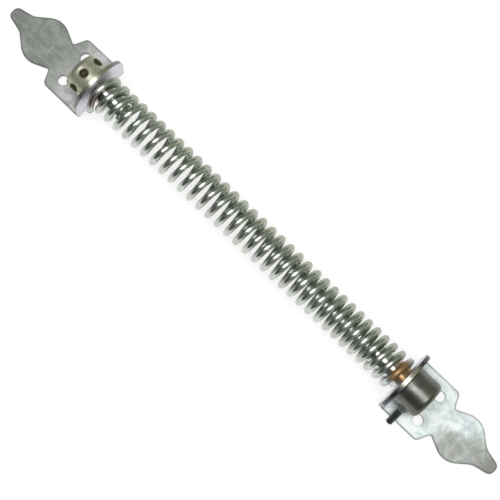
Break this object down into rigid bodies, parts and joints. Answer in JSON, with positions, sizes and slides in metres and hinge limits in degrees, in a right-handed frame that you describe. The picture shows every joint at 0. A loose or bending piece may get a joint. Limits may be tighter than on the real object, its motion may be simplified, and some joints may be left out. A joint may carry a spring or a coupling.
{
  "type": "gate spring",
  "caption": "Torsion gate spring: a coil between two leaf-tipped screw-on brackets, with a drilled adjusting collar at one end and a pinned stop collar at the other.",
  "frame": {"origin": "on the plane of the plate backs, straight below the middle of the spring", "axes": "+X along the spring from the adjusting end to the stop end, +Z away from the plate backs, +Y away from the stop pin"},
  "size_m": [0.3114, 0.0337, 0.03],
  "materials": {
    "left_sheet": "matt grey zinc plate",
    "right_sheet": "bright zinc plate, stained brown-grey towards the tip",
    "zinc_collar": "satin zinc plate with a yellow-green cast",
    "dark_collar": "dark polished steel",
    "dark_pin": "blackened steel",
    "wire": "bright zinc-plated wire, tinted brown at the ends"
  },
  "bodies": {
    "adjuster_bracket": {"adjuster_bracket": "left_sheet"},
    "adjuster": {"adjuster_collar": "zinc_collar", "coil_spring": "wire"},
    "stop": {"stop_collar": "dark_collar", "stop_pin": "dark_pin"},
    "stop_bracket": {"stop_bracket": "right_sheet"}
  },
  "joints": [
    {"name": "adjuster_turn", "type": "hinge", "parent": "adjuster_bracket", "child": "adjuster", "pos_m": [-0.0975, 0, 0.0145], "axis": [1, 0, 0], "continuous": true},
    {"name": "spring_twist", "type": "hinge", "parent": "adjuster", "child": "stop", "pos_m": [0, 0, 0.0145], "axis": [-1, 0, 0], "range_deg": [-90, 270], "stiffness_Nm_per_rad": 0.72, "deforming": ["coil_spring"]},
    {"name": "stop_turn", "type": "hinge", "parent": "stop", "child": "stop_bracket", "pos_m": [0.0975, 0, 0.0145], "axis": [1, 0, 0], "range_deg": [0, 248]}
  ]
}
